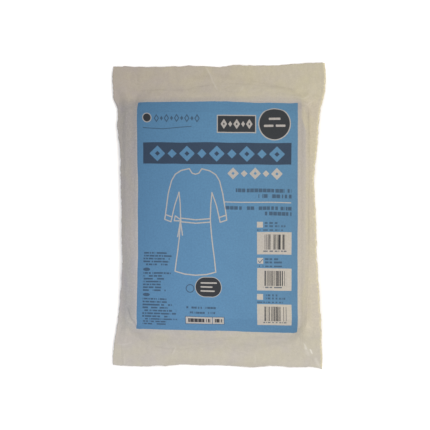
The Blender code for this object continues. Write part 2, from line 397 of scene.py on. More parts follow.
class Paint:  # one material and its nodes
    def __init__(self, name):
        self.material = bpy.data.materials.new(name)
        self.material.use_nodes = True
        self.tree = self.material.node_tree
        self.shader = self.tree.nodes["Principled BSDF"]

    def node(self, kind, settings=None, sockets=None, out=0):
        made = self.tree.nodes.new(kind)
        for key, value in (settings or {}).items():
            if key == "stops":
                for element, (place, colour) in zip(self.stopsOf(made, len(value)), value):
                    element.position = place
                    element.color = colour
            else:
                setattr(made, key, value)
        for key, value in (sockets or {}).items():
            if isinstance(value, Wire):
                self.tree.links.new(value.socket, made.inputs[key])
            else:
                made.inputs[key].default_value = value
        return Wire(self, made.outputs[out])

    def stopsOf(self, ramp, count):
        while len(ramp.color_ramp.elements) < count:
            ramp.color_ramp.elements.new(1)
        return list(ramp.color_ramp.elements)

    def vector(self, operation, *values, out=0):
        return self.node("ShaderNodeVectorMath", {"operation": operation}, dict(enumerate(values)), out)

    def split(self, vector, axis):
        return self.node("ShaderNodeSeparateXYZ", None, {0: vector}, axis)

    def join(self, x, y):
        return self.node("ShaderNodeCombineXYZ", None, {0: x, 1: y})

    def mapped(self, name, scale=1000):  # a UV map, in millimetres where it holds metres
        found = self.node("ShaderNodeUVMap", {"uv_map": name})
        return self.vector("MULTIPLY", found, (scale, scale, scale))

    def clouds(self, place, length, detail=2, rough=0.5, out=0):
        return self.node("ShaderNodeTexNoise", None,
                         {"Vector": place, "Scale": 1 / length, "Detail": detail, "Roughness": rough}, out)

    def patches(self, place, length, detail, rough, contrast, offset):
        return self.clouds(place, length, detail, rough).scaled(contrast, offset)

    def veins(self, place, length):  # 0 along wandering lines, more away from them
        return (self.clouds(place, length, 1) - 0.5).size()

    def chance(self, column, row):  # a fixed random number for each cell
        cell = self.join(column, row)
        return self.node("ShaderNodeTexWhiteNoise", {"noise_dimensions": "2D"}, {"Vector": cell})

    def mix(self, share, first, second, how="MIX"):
        return self.node("ShaderNodeMix", {"data_type": "RGBA", "blend_type": how},
                         {0: share, 6: first, 7: second}, 2)

    def times(self, share, first, second):  # second multiplies first, as far as the share says
        return self.mix(share, first, second, "MULTIPLY")

    def bump(self, height, distance, strength, normal=None):
        sockets = {"Height": height, "Distance": distance, "Strength": strength}
        if normal:
            sockets["Normal"] = normal
        return self.node("ShaderNodeBump", None, sockets)

    def feed(self, name, value):
        if isinstance(value, Wire):
            self.tree.links.new(value.socket, self.shader.inputs[name])
        else:
            self.shader.inputs[name].default_value = value


print("paper: the printed front")

# Front web, mm. The columns and rows pair a share of the grid with a distance from the middle.
paper = {
    "grid": (190, 240),
    "columns": [(0, 0), (0.44, 100), (0.52, 107), (0.84, 124), (1, 131)],
    "rows": [(0, 0), (0.42, 126), (0.54, 142), (0.86, 184), (1, 204)],
    "thickness": 0.22,
    # where the paper starts down from the gown, where it meets the film, how late it turns down and
    # how softly it lands
    "left": (105, 127, 1.35, 1.2),
    "right": (110, 122.3, 1.45, 1.1),
    "head": (130, 182, 1.5, 1.6),
    "foot": (132, 184, 1.5, 1.6),
    "footIn": 2.8,  # the right wall meets the film this much sooner toward the foot
    "footSoft": 0.5,  # and lands this much softer
    "cornerSpread": 34,  # the side walls open out this much past the gown's ends
    "endArc": 12,  # the ends of the walls curve back this much toward the corners
    "clear": 0.55,  # always this far above the gown
    "crown": 1.5,
    "slack": 0.45,
    "topWave": 0.5,
    "topWaveLength": 48,
    "topCrumple": 0.2,
    "topCrumpleLength": 14,
    "wallCrumple": 0.55,
    "wallCrumpleLength": 11,
    "crownAcross": (0, 106),
    "crownAlong": (0, 138),
    "arcWidth": 125,
    "footFrom": (40, 150),  # the right wall changes toward the foot between these
    "spreadFrom": 0.3,
    "sealedBy": 2.4,  # its own creases fade from this many seal widths in, to one
    "edgeFrom": 0.955,
    "landing": 0.06,  # and over the gown, within this share of the wall
}

# Creases of the paper alone, where it stands off the film: from, to, rise, width, lean
paperCreases = [
    (-112, 166, -84.5, 169.6, 0.3, 2.8, 0.9),  # the arc where the head wall lands
    (-84.5, 169.8, -40, 169, 0.5, 2.6, 0.9),
    (-40, 169.2, -30, 172.7, 0.6, 2.2, 0.9),
    (-30, 172.7, -5.5, 176.8, 0.7, 2.2, 0.9),
    (6.8, 173, 18.5, 173.8, 0.8, 1.8, 0.6),
    (13, 176.2, 60, 172.3, 0.15, 3, 0.8),
    (60, 172.3, 104, 167.7, 0.15, 3, 0.8),
    (68, 161.4, 122, 157, 0.5, 2.2, 0.8),
    (113, 142, 131.5, 155.8, 1.2, 2.2, 0.6),
    (-132, 158, -114, 138, 1.3, 3.4, 0.6),
    (-15, 203, -4.6, 180, 1.3, 3.6, 0.7),  # broad folds up to the head edge
    (-55.5, 200, -42, 172, 1.8, 5, 0.3),
    (-24, 196, -22, 178, -1.5, 5, 0.2),
    (-86, 198, -80, 176, -0.8, 5.5, 0.2),
    (4, 200, 5, 181, -1.4, 4.5, 0.2),
    (38, 192, 37, 176, -1.3, 4.5, 0.2),
    (52, 200, 50, 176, 1.2, 4, 0.3),
    (29, 187.5, 58, 182, -0.9, 4, 0.2),
    (58, 182, 92, 172, -0.9, 3.6, 0.2),
    (84, 199, 90, 176, -0.7, 5.5, 0.2),
    (-44, 158, -12, 156, -0.6, 3, 0.3),
    (46, 155.5, 80, 157, 0.6, 3, 0.3),
    (-92, -178.4, -54, -179.6, -0.7, 2, 0.6),  # the foot flap
    (-56, -179, -24, -175, 0.8, 2.6, 0.8),
    (-25, -174.4, 6.5, -167, 0.9, 2.4, 0.8),
    (5.5, -167, 17, -166.8, 0.7, 2.4, 0.6),
    (19, -180.2, 45, -186.2, 0.8, 2.6, 0.8),
    (44, -186, 74, -199.5, 0.8, 2.8, 0.8),
    (-141, -175.6, -123.5, -178.6, 0.8, 2, 0.5),
    (46, -179, 49.5, -201, 0.7, 3, 0.4),
    (-26, -182.5, -8, -182, 0.8, 3.4, 0),
    (-119.8, -123, -116, -137, -1.5, 2.4, 0),
    (-116, -137, -107.2, -147.6, -1.5, 2.6, 0),
    (-126, -132, -129, -166, -0.9, 3, 0.4),
    (120.5, -83, 115.5, -90, 0.9, 1.4, 0.5),
    (114, -148, 114.6, -176, 0.5, 2, 0.8),
    (106, -150, 119, -163, 0.8, 3, 0.6),
    (60, -158, 96, -156, 0.6, 3, 0.3),
    (-90, -160, -52, -163, 0.7, 3, 0.3),
    (117.5, 137, 118.5, 60, 0.4, 1.2, 0),  # lines that run along the side walls
    (118.5, 66, 117, -16, 0.35, 1.2, 0),
    (117.2, -8, 116, -100, 0.5, 1.3, 0),
    (-121, 112, -120.6, 30, -0.3, 1.5, 0),
    (-121.6, 24, -122.3, -127, -0.55, 1.5, 0.2),
    (-113.5, 92, -114.5, -60, 0.3, 2, 0),
]

# Where fine creases lie: count, left, right, low and high bound, lean in degrees, longest
fineZones = [
    (26, -136, 136, 150, 192, 6, 34),
    (24, -132, 134, -192, -152, -4, 34),
    (14, -126, -110, -140, 140, 84, 30),
    (14, 109, 121, -140, 140, 92, 30),
]


def scatteredCreases(rows):  # uneven fine creases, each zone's about its own direction
    draw = random.Random(19)
    found = []
    for count, left, right, low, high, lean, longest in rows:
        for _ in range(count):
            x, y = draw.uniform(left, right), draw.uniform(low, high)
            angle = math.radians(lean + draw.gauss(0, 16))
            reach = draw.uniform(0.3, 1) * longest / 2
            rise = draw.choice((-0.5, 0.7)) * draw.uniform(0.5, 1)
            found.append((x - reach * math.cos(angle), y - reach * math.sin(angle),
                          x + reach * math.cos(angle), y + reach * math.sin(angle),
                          rise, draw.uniform(1.1, 2), draw.uniform(0.2, 0.9)))
    return found


fineCreases = scatteredCreases(fineZones)


def wallLevel(x, y):  # 1 on top of the gown, 0 down on the film
    leavesX, meetsX, lateX, softX = [np.where(x < 0, *pair) for pair in zip(paper["left"], paper["right"])]
    leavesY, meetsY, lateY, softY = [np.where(y < 0, *pair) for pair in zip(paper["foot"], paper["head"])]
    meetsY = meetsY - paper["endArc"] * (x / paper["arcWidth"]) ** 2
    footRight = np.where(x > 0, 1 - fall(-y, *paper["footFrom"]), 0)
    meetsX = meetsX - paper["footIn"] * footRight
    softX = softX + paper["footSoft"] * footRight
    along = np.clip((np.abs(y) - leavesY) / (meetsY - leavesY), 0, None)
    opened = np.clip((along - paper["spreadFrom"]) / (1 - paper["spreadFrom"]), 0, 1)
    leavesX = leavesX - paper["cornerSpread"] * opened
    across = np.clip((np.abs(x) - leavesX) / (meetsX - leavesX), 0, None)
    far = np.maximum(np.hypot(across, along), 1e-6)
    side = (across / far) ** 2
    late = lateY + (lateX - lateY) * side
    soft = softY + (softX - softY) * side
    return (1 - np.minimum(far, 1) ** late) ** soft


def paperPlace(u, v):
    x, y = planOf(u, v, paper["columns"], paper["rows"])
    over = wallLevel(x, y)
    crown = paper["crown"] * plateau(x, y, paper["crownAcross"], paper["crownAlong"])
    wave = paper["topWave"] * grain(x, y, paper["topWaveLength"], seed=8)
    top = pouch["gownTop"] + paper["slack"] + crown + wave - gownDrop(x, y)
    top = top + paper["topCrumple"] * crumple(x, y, paper["topCrumpleLength"], seed=21)
    sealed = sealedHeight(x, y) + pouch["webGap"] + paper["thickness"]
    edge = np.maximum(np.abs(x) / pouch["halfWidth"], np.abs(y) / pouch["halfLength"])
    inFromEnd = pouch["halfLength"] - np.abs(y)
    apart = 1 - fall(inFromEnd, pouch["sealWidth"], paper["sealedBy"] * pouch["sealWidth"])
    apart = apart * fall(edge, paper["edgeFrom"], 1)
    loose = creased(paperCreases, x, y) + creased(fineCreases, x, y)
    loose = loose + paper["wallCrumple"] * crumple(x, y, paper["wallCrumpleLength"], seed=33)
    loose = loose * (1 - fall(1 - over, 0, paper["landing"])) * apart
    height = np.maximum(sealed + (top - sealed) * over + loose, sealed)
    return x, y, np.maximum(height, gownTopAt(x, y) + paper["clear"])


paperFront = foldedSheet("printed_paper_front", *paper["grid"], paperPlace, paper["thickness"])

# The print, in mm from the panel's left edge and down from its top
label = {
    "left": -104.6,  # of the panel on the cut sheet
    "top": 150.65,
    "askew": 0.0125,
    "stretch": 1.0165,
    "width": 211.4,
    "rise": -2.7,  # its top edge lies a little above where its rows start
    "height": 300.3,
    "soft": 0.35,
    "wander": (1.6, 1.8, 0),  # the web stretched a little in the press
    "wanderLength": 42,
    "bow": (5, 0.9, -1.3),  # how its left side bends along the sheet, level, and how that fades across
    "headDrop": (116, 156, 1.8),  # the panel's uneven corners: from, to, by how much
    "footDrop": (114, 209, 2.6),
    "footCorner": (7, 0, 1.6),
    "footPull": (290, 300, 2.4),
    "pullWidth": 100,
}
inks = {
    "blue": (0.075, 0.193, 0.341, 1),
    "navy": (0.019, 0.041, 0.082, 1),
    "black": (0.0165, 0.0205, 0.027, 1),
    "text": (0.028, 0.06, 0.11, 1),
    "code": (0.03, 0.032, 0.038, 1),
    # painted shade over the print at foot left, foot right, head left and head right: darkest toward the
    # head left
    "shade": [(0.97, 0.975, 1, 1), (0.971, 0.92, 0.88, 1),
              (0.635, 0.7, 0.722, 1), (0.888, 0.885, 0.83, 1)],
    "middle": (1.035, 1.035, 1.035, 1),  # and painted shade from its middle to its sides, darker at the sides
    "sides": (0.925, 0.925, 0.925, 1),
    "reach": (1.35, 1.4),  # how fast the painted shade runs across and along
    "sidesFrom": 1.7,
    "textDepth": 0.86,
    "worn": (0.8, 0.82, 0.86, 1),
    "wear": 0.2,
    "rough": 0.14,  # the print is smoother than the paper by this
    "pressed": (0.1, 0.9),
}
# Tones of the paper, each as foot left, foot right, head left and head right. Between the corners they run
# from darker at the head left to lighter at the foot right: painted light and shade, on top of the paper's
# own colour and the gown showing through.
paperTonesAndPaintedLight = {
    "ends": [(0.43, 0.416, 0.383, 1), (0.443, 0.427, 0.372, 1),
             (0.332, 0.303, 0.268, 1), (0.412, 0.389, 0.302, 1)],
    "sides": [(0.423, 0.415, 0.408, 1), (0.481, 0.458, 0.385, 1),
              (0.296, 0.284, 0.277, 1), (0.443, 0.409, 0.317, 1)],
    "overGown": [(0.409, 0.408, 0.432, 1), (0.492, 0.463, 0.382, 1),
                 (0.247, 0.243, 0.245, 1), (0.333, 0.315, 0.303, 1)],
    "paintedTopShade": (0.92, 0.92, 0.93, 1),  # painted shade on the flat top, right beside the print
    "coolWallShade": (0.905, 0.93, 0.985, 1),  # painted cool shade on the left wall toward the foot
    # paler yellow of the right cut edge
    "rim": (0.6, 0.55, 0.37, 1),
    # painted highlight, for the glints and the crease ridges
    "paintedHighlight": (0.8, 0.8, 0.78, 1),
    "warm": (1, 0.99, 0.94, 1),  # two soft tints that multiply in patches
    "cool": (0.975, 0.96, 0.99, 1),
    "mottle": (0.955, 0.953, 0.957, 1),
    "speck": (0.895, 0.895, 0.895, 1),
    # painted shade in the folds, and deeper in the crease at the foot left
    "foldShade": (0.955, 0.95, 0.945, 1),
    "deepFoldShade": (0.84, 0.85, 0.88, 1),
    "fibres": [(0.3, (0.7, 0.69, 0.67, 1)), (0.7, (1, 1, 1, 1))],
    "fibreShare": 0.28,
    "rightEdgeBand": (0.982, 0.02, 2.6, 2.2),  # from which share, over how much, length and strength of its noise
    "rough": 0.86,
}

# Bands of the web: low bound, high bound, how soft
zones = {
    "length": (-156, 156, 14),  # all but the two flaps
    "wider": (-96, 120, 16),  # where the part over the gown reaches farther right
    "leftWall": (-112, 8),  # where that part ends, and how soft
    "rightWall": (112.5, 9, 3.5),  # the same, with how much farther in between
    "top": (-102, 113.5, 4),
    "wallFootX": (-130, -111, 6),
    "wallFootY": (-140, -52, 30),
    "printX": (-104, 104, 8),
    "printY": (-148, 148, 8),
    "speckled": (-103, 4),  # more specks left of this
}
# Noise in the paper: length in mm, detail, roughness, then contrast and offset
noises = {
    "cloud": (26, 3, 0.55, 3.6, -1.3),
    "mottle": (5.5, 2, 0.6, 3.4, -1.2),
    "worn": (15, 2, 0.5, 4, -1.4),
    "press": (0.8, 2, 0.7, 0.5, 0.72),
    "speck": (2.4, 2, 0.6, 3.4, -1.2),
    "lines": (24, 1, 0.5, 7, -3.4),
}
# Depth in metres and strength of each relief, and what its lines measure
reliefs = {
    "wrinkle": (0.003, 0.5),
    "folds": (0.00022, 1),
    "ribs": (0.00025, 0.3),
    "fibre": (0.00012, 0.55),
    "wrinkleLengths": (17, 8),
    "fineShare": 0.4,
    "onPrint": 0.25,  # how much of the wrinkles is left there
    "thinLength": 13,
    "thinWidth": 0.035,
    "ribPitch": 1.5,
}

# Patches of painted light and shade on the paper, paler and darker places: left, right, low and high bound,
# how soft, its share of the tone
paintedLightPatches = [
    (117, 129.5, -152, 152, 3, 1.07),  # the foot of the right wall
    (127.5, 150, -60, 150, 3, 0.975),
    (-115, -103, -75, -5, 5, 1.035),
    (-106, 112, 149, 155.5, 3, 1.05),
    (30, 136, 152, 176, 8, 1.035),
    (-142, -98, -160, -134, 8, 1.045),
]


class Drawing:  # shapes on a map, as distances that are below 0 inside
    def __init__(self, paint, place):
        self.paint = paint
        self.place = place
        self.x = paint.split(place, 0)
        self.y = paint.split(place, 1)

    def inked(self, distance):  # 1 inside a shape and 0 outside
        return distance.within(label["soft"])

    def past(self, left, right, top, bottom, rounded=0):  # how far past a box's sides, on each axis
        middle = ((left + right) / 2, (top + bottom) / 2, 0)
        half = ((right - left) / 2 - rounded, (bottom - top) / 2 - rounded, 1)
        away = self.paint.vector("ABSOLUTE", self.paint.vector("SUBTRACT", self.place, middle))
        return self.paint.vector("SUBTRACT", away, half)

    def box(self, *sides):
        away = self.past(*sides)
        return self.paint.split(away, 0).either(self.paint.split(away, 1))

    def boxes(self, rows):
        return nearest([self.box(*row) for row in rows])

    def bar(self, row, rounded):  # a box with rounded corners
        away = self.paint.vector("MAXIMUM", self.past(*row, rounded), (0, 0, 0))
        return self.paint.vector("LENGTH", away, out=1) - rounded

    def lozenges(self, box, count, line):  # hollow lozenges in a row, and smaller full ones by turns
        left, right, top, bottom = box
        pitch = (right - left) / count
        half = 0.53 * pitch  # a little over half, so that neighbours touch
        high = (bottom - top) / 2
        number = (self.x - left) * (1 / pitch)
        across = ((number.fraction() - 0.5) * (pitch / half)).size()
        up = ((self.y - (top + bottom) / 2) * (1 / high)).size()
        deep = half * high / math.hypot(half, high)
        far = (across + up - 1) * deep
        outOfSight = 90
        turn = ((number.floor() * 0.5).fraction() > 0.25) * outOfSight
        hollow = far.either(-1 * (far + line)) + turn
        full = far + 0.42 * deep + outOfSight - turn  # the full ones are smaller
        return hollow.both(full).either(self.x.span(left, right))

    def disc(self, middleX, middleY, radius, flatten=1):
        away = self.paint.vector("SUBTRACT", self.place, (middleX, middleY, 0))
        away = self.paint.vector("MULTIPLY", away, (1, flatten, 0))
        return self.paint.vector("LENGTH", away, out=1) - radius

    def strewn(self, pitch, row, gaps):  # 1 or 0 by chance, for each step of this pitch
        return self.paint.chance((self.x * (1 / pitch)).floor(), row) > gaps

    def dashes(self, box, pitch, seed):  # a row of short strokes, in groups like words
        strokes = self.paint.chance((self.x * (words["letters"] / pitch)).floor(), seed) > words["gaps"]
        groups = self.x * (1 / pitch) + words["shift"] * seed
        apart = groups.fraction() < words["length"]
        apart = apart * (self.paint.chance(groups.floor(), seed + 7) > words["missing"])
        return strokes * apart * self.inked(self.box(*box))

    def line(self, start, end):
        paint = self.paint
        runX, runY = end[0] - start[0], end[1] - start[1]
        longSquared = runX**2 + runY**2
        away = paint.vector("SUBTRACT", self.place, (*start, 0))
        share = paint.vector("DOT_PRODUCT", away, (runX / longSquared, runY / longSquared, 0), out=1)
        share = share.scaled(1, 0)
        foot = paint.vector("MULTIPLY", paint.join(share, share), (runX, runY, 0))
        return paint.vector("LENGTH", paint.vector("SUBTRACT", away, foot), out=1)

    def strokes(self, paths, width=0):  # straight lines through the points of each path
        return nearest([self.line(*ends) for path in paths for ends in zip(path, path[1:])]) - width / 2


# Rows of lozenges that fill the places of words: the row, how many, width of their line
lozengeRows = {
    "headline": ((17, 194.4, 58.2, 78.6), 9, 5),
    "second": ((120, 191.6, 86, 101.4), 5, 3.9),
    "onBlack": ((111, 152.6, 23.2, 36.2), 5, 2.6),
    "small": ((23, 83, 16.6, 27.8), 9, 1.3),
}

# Word-like strokes
words = {
    "letters": 3.2,  # to a word
    "gaps": 0.15,  # share of them left out
    "length": 0.88,  # of a word, as a share of its pitch
    "missing": 0.08,  # share of whole words left out
    "shift": 0.37,  # of a row's words against the next row's
}

# The other shapes: boxes as left, right, top and bottom, discs as their middle and radius
shapes = {
    "banner": (8.1, 203.3, 54, 82),
    "badge": (107, 156.2, 19.3, 40.2),
    "disc": (181.3, 29.4, 19.8),
    "dot": (13.6, 21.4, 5.2),
    "pill": [(90, 240.6), (99, 240.6)],
    "pillWidth": 25,
    "rims": (1.3, 1.3, 0.7, 1.1),  # pale rims of the badge, the disc, the pill and the dot
    # thin bars on the disc and on the pill
    "bars": [(174, 189, 21.8, 24.6), (167.5, 180, 30.6, 33.4), (183, 195.5, 30.6, 33.4),
             (84, 106, 234.4, 236.2), (84, 100, 239.7, 241.5), (84, 103, 245, 246.8)],
    "barRound": 0.9,
    "rule": (115.3, 202.7, 129.9, 131.1),
    "flourish": [(8.4, 34.6), (34, 36.4), (72, 33)],
    "flourishWidth": 1,
    "stamp": (64.7, 115.2, 279.4, 289.9),
    "stampRim": 0.4,
    "stampBar": (99.7, 100.5, 279.4, 289.9),
    "ring": (70.4, 243, 5),
    "ringRim": 0.6,
    "flags": [(12.4, 219.3, 4.7, 2.1), (12.4, 252.3, 4.7, 2.1)],  # discs flattened so many times
    "tick": [(160.2, 205.6), (162.2, 208), (165.8, 203.6)],
    "tickWidth": 0.9,
}

# Plain gown figure: half of it, from its middle line and down from the neck
figure = {
    "middle": 77.5,
    "top": 88,
    "line": 1.5,
    "half": [
        [(0, 7.2), (4.6, 5.8), (8.4, 0), (19, 2.6), (27, 7.6), (32, 15.8), (36.2, 32), (41.4, 66),
         (33, 68.8), (27.6, 47), (21.8, 30.5), (20.2, 46), (19.8, 63), (22, 92), (27, 133),
         (14.5, 136.4), (0, 137.5)],
        [(40, 59.8), (31.2, 62.7)],
        [(0, 66), (19.8, 64.2)],
        [(0, 70.4), (20.2, 68.7)],
    ],
    "tie": [
        [(-19.5, 66.5), (-27, 61), (-28.5, 67.5), (-19.5, 67.5)],
        [(-20.5, 69), (-24, 88)],
        [(-20, 69), (-17.5, 86)],
    ],
}

# Rows of word-like strokes: left, right, top and bottom of the row, its pitch and its own draw
textRows = [
    ((130.7, 203.2, 113, 117.8), 5.4, 71),
    ((156.8, 203.2, 120.2, 125), 5.4, 73),
    ((115.3, 203.2, 135.8, 140.4), 5.4, 79),
    ((163, 203.2, 142.6, 147.4), 5.4, 83),
    ((65.6, 104.7, 266.2, 268.8), 3.6, 89),
    ((70.3, 104.7, 272.7, 275.3), 3.6, 97),
]

stampRows = [((67.2, 97.4, 281.8, 287.4), 5.2, 101), ((102.8, 112.6, 281.8, 287.4), 4.4, 103)]

# One size field: tick box, two lines, a code line and a bar field, repeated down the panel
field = {
    "first": 155.3,
    "pitch": 46.3,
    "count": 3,
    "tick": (158.7, 166.6, 0.2, 7.6),
    "words": [(168.9, 186, 0.5, 3), (168.9, 195.5, 4.6, 7)],
    "code": (158.6, 192.9, 9.9, 11.8),
    "bare": (158.7, 203.4, 13.3, 41.9),
    "bars": (168.2, 196.6, 16.4, 35.8),
    "digits": (166.3, 196.8, 36.9, 38.7),
    "bar": 0.62,
    "barGaps": 0.52,
    "letter": 1.15,
    "letterGaps": 0.3,
    "wordDepth": 0.9,
    "digitDepth": 0.8,
}

# Small rows of word-like marks with ragged ends, at the panel's foot left
address = {
    "top": 196.8,
    "pitch": 3.74,
    "tall": 0.58,  # share of the pitch
    "left": 7.7,
    "shortest": 31,
    "uneven": 15,
    "longFrom": 250,  # rows past this are longer
    "longer": 8,
    "groups": [(196.6, 215.2), (222.8, 248.8), (256.4, 293.8)],
    "letter": 0.95,
    "letterGaps": 0.18,
    "word": 5.2,
    "wordGaps": 0.08,
}


def sizeFields(marks):  # their bare boxes, their bars and their small text
    paint = marks.paint
    local = (marks.y - field["first"]) * (1 / field["pitch"])
    number = local.floor()
    one = Drawing(paint, paint.join(marks.x, local.fraction() * field["pitch"]))
    last = field["first"] + field["count"] * field["pitch"]
    inField = marks.inked(marks.y.span(field["first"] - 0.2, last - 1))
    bare = marks.inked(one.boxes([field["tick"], field["bare"]])) * inField
    bars = marks.strewn(field["bar"], number + 3, field["barGaps"])
    bars = bars * marks.inked(one.box(*field["bars"]))
    letters = marks.strewn(field["letter"], number + 11, field["letterGaps"])
    lettered = marks.inked(one.boxes([*field["words"], field["code"]])) * letters
    digits = marks.inked(one.box(*field["digits"])) * letters
    codes = bars.either(digits * field["digitDepth"]) * inField
    return bare, codes, lettered * field["wordDepth"] * inField


def addressLines(marks):  # 1 in the strokes of the small rows
    rows = (marks.y - address["top"]) * (1 / address["pitch"])
    row = rows.floor()
    shown = marks.strewn(address["letter"], row + 29, address["letterGaps"])
    shown = shown * marks.strewn(address["word"], row + 41, address["wordGaps"])
    end = marks.paint.chance(row, 53) * address["uneven"] + address["shortest"]
    end = end + (marks.y > address["longFrom"]) * address["longer"]
    shown = shown * (rows.fraction() < address["tall"]) * (marks.x > address["left"]) * (marks.x < end)
    return shown * marks.inked(nearest([marks.y.span(*group) for group in address["groups"]]))


def cornerTone(paint, across, along, corners):  # a soft run between four corners of the web, used for painted light and shade
    toRight = across.scaled(0.5, 0.5)
    foot = paint.mix(toRight, corners[0], corners[1])
    head = paint.mix(toRight, corners[2], corners[3])
    return paint.mix(along.scaled(0.5, 0.5), foot, head)


# Fold lines in the paper, on the flat web, each as the points it runs through. Ridges get a painted
# highlight, troughs and the wide and deep lines painted shade.
foldLines = {
    "ridges": [
        [(-15.2, 206.2), (-10.2, 197), (-7.4, 188.5), (0, 174.2)],
        [(6.5, 180.7), (18.2, 181.8)],
        [(31.5, 171.5), (34.2, 177.8)],
        [(119.8, 146.2), (132.4, 155.9)],
        [(96.9, 163), (122.8, 160.3)],
        [(-61.6, -194.3), (-56.8, -185.8)],
        [(-128.6, -135), (-124.6, -143)],
        [(-126, -139), (-119, -144)],
        [(-127.3, -191), (-127.6, -204.5)],
        [(-139.6, -177.9), (-120.7, -176.6), (-117.7, -175.9)],
        [(50.4, -195.3), (50.5, -204.5)],
    ],
    "troughs": [
        [(-104.6, 177.4), (-84.8, 176.9), (-57.1, 174.3), (-39.7, 175), (-30.3, 179.3),
         (-13, 182.3), (-5.3, 183.6)],
        [(-22.5, 180), (-5.2, 182)],
        [(12.7, 185), (60, 180.5), (102.6, 176.1)],
        [(6.3, 175.3), (18.3, 179)],
        [(11.8, 172.3), (20.3, 169.8)],
        [(-87.1, -184.6), (-67.6, -187.8), (-40.2, -187.1), (-24.5, -180.1), (-8.8, -178),
         (5, -172.2), (18.4, -170.8)],
        [(10.2, -183.7), (21.7, -188.6), (35.1, -193), (42.8, -194.8)],
        [(-130.2, -191), (-130.5, -204.5)],
        [(114.6, -151.7), (115.6, -181.3)],
        [(131.4, 139.7), (129.9, 33.9), (129.4, -40)],
        [(-126, -32.9), (-127, -120.7)],
    ],
    "wide": [  # soft and broad painted shade: over the head wall, and along the foot's edge
        [(-32.9, 192.7), (-25.2, 194.6), (-13.4, 195.9)],
        [(-3.8, 196), (29.5, 190.4), (56.5, 185.9), (88.9, 177.1), (120, 164.5)],
        [(-67.8, -206.7), (-48.2, -204.4), (-32.8, -207), (-13.2, -207.2)],
        [(15.8, -206.3), (42.9, -208.2), (73.7, -206.2)],
    ],
    "paintedGlints": [  # painted highlights, small glints on the foot flap: the line, its width, how pale
        ([(117.2, -176), (118.6, -179.4)], 2.6, 0.24),
        ([(118.8, -180.4), (121.8, -187)], 4.2, 0.1),
        ([(124.6, -180.6), (126.8, -185.6)], 1.5, 0.46),
        ([(131.8, -193.5), (137.5, -205)], 3.2, 0.15),
    ],
    # painted shade along the crease at the foot left
    "deep": [[(-123.6, -126), (-118.1, -135.8), (-112.1, -141.8), (-107.9, -149.3)]],
    "width": 1.5,
    "wornRidge": (0.6, 0.4),  # how much of them comes and goes, and how much stays
    "wornTrough": (0.7, 0.3),
    "wideWidth": 5.5,
    "wideDepth": 0.9,
    "deepWidth": 3.4,
    "pale": 0.1,  # how far a ridge goes toward the painted highlight
}


def printPlace(sheet, share):  # across and down from the panel's top left corner
    paint = sheet.paint
    wander = paint.clouds(sheet.place, label["wanderLength"], 1, out=1)
    wander = paint.vector("SUBTRACT", wander, (0.5, 0.5, 0.5))
    wander = paint.vector("MULTIPLY", wander, label["wander"])
    moved = Drawing(paint, paint.vector("ADD", sheet.place, wander))
    bend, level, side = label["bow"]
    across = moved.x + (share.y * share.y * bend - level) * share.x.scaled(side, 0)
    down = (label["top"] - (moved.y + across * label["askew"])) * (1 / label["stretch"])
    return Drawing(paint, paint.join(across - label["left"], down))


def printPanel(marks):  # 1 in the blue panel, whose corners are a little uneven
    def drop(value, name):
        start, end, most = label[name]
        return value.ramp(start, end) * most

    head = drop(marks.x, "headDrop") + label["rise"]
    foot = drop(marks.x, "footDrop") + label["height"] + drop(marks.x, "footCorner")
    pulled = drop(marks.y, "footPull") * (marks.x < label["pullWidth"])
    panel = (marks.x + pulled).span(0, label["width"])
    return marks.inked(panel.either(head - marks.y).either(marks.y - foot))


def darkShapes(marks):  # the dark shapes, with their rims, and what is pale on them
    dark = [marks.box(*shapes["badge"]), marks.disc(*shapes["disc"]),
            marks.strokes([shapes["pill"]], shapes["pillWidth"]), marks.disc(*shapes["dot"])]
    rims = nearest([shape - rim for shape, rim in zip(dark, shapes["rims"])])
    bars = nearest([marks.bar(row, shapes["barRound"]) for row in shapes["bars"]])
    onBlack = marks.lozenges(*lozengeRows["onBlack"]).both(bars)
    return marks.inked(nearest(dark)), rims, marks.inked(onBlack)


def bareShapes(marks):  # where the panel is left unprinted
    x, y = marks.x - figure["middle"], marks.y - figure["top"]
    half = Drawing(marks.paint, marks.paint.join(x.size(), y))
    whole = Drawing(marks.paint, marks.paint.join(x, y))
    return nearest([marks.boxes([shapes["rule"], shapes["stamp"]]),
                    marks.lozenges(*lozengeRows["second"]),
                    half.strokes(figure["half"], figure["line"]),
                    whole.strokes(figure["tie"], figure["line"])])


def smallMarks(marks):  # 1 in the thin lines and small signs
    return marks.inked(nearest([
        marks.lozenges(*lozengeRows["small"]),
        marks.strokes([shapes["flourish"]], shapes["flourishWidth"]),
        marks.box(*shapes["stampBar"]),
        marks.disc(*shapes["ring"]).size() - shapes["ringRim"],
        *[marks.disc(*flag) for flag in shapes["flags"]],
        marks.strokes([shapes["tick"]], shapes["tickWidth"]),
        marks.box(*shapes["stamp"]).size() - shapes["stampRim"]]))


